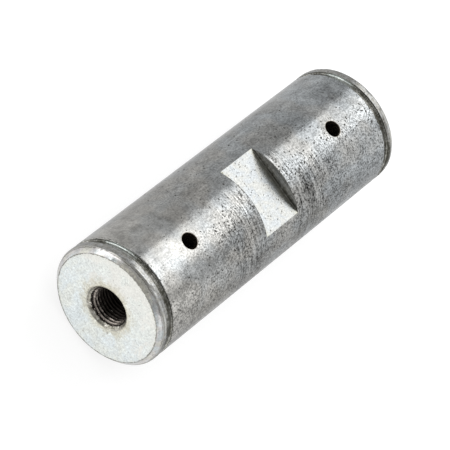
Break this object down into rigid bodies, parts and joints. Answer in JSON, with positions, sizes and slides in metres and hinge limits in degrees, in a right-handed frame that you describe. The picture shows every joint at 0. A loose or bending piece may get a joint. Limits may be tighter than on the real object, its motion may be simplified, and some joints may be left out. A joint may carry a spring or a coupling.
{
  "type": "pivot pin",
  "caption": "Solid round steel pivot pin with a snap-ring groove at each end, a flat keeper notch across the middle and a threaded grease way in each end that feeds a cross hole.",
  "frame": {"origin": "on the pin's axis at mid-length, which is the centre of its box", "axes": "+X along the pin, +Z square to the floor of the keeper notch, +Y to complete a right-handed frame"},
  "size_m": [0.091, 0.03, 0.03],
  "materials": {
    "zinc_plated_steel": "ground and thinly zinc-plated steel, satin, with dark pits and patches where the plating is worn through"
  },
  "bodies": {
    "root": {"pivot_pin": "zinc_plated_steel"}
  },
  "joints": []
}
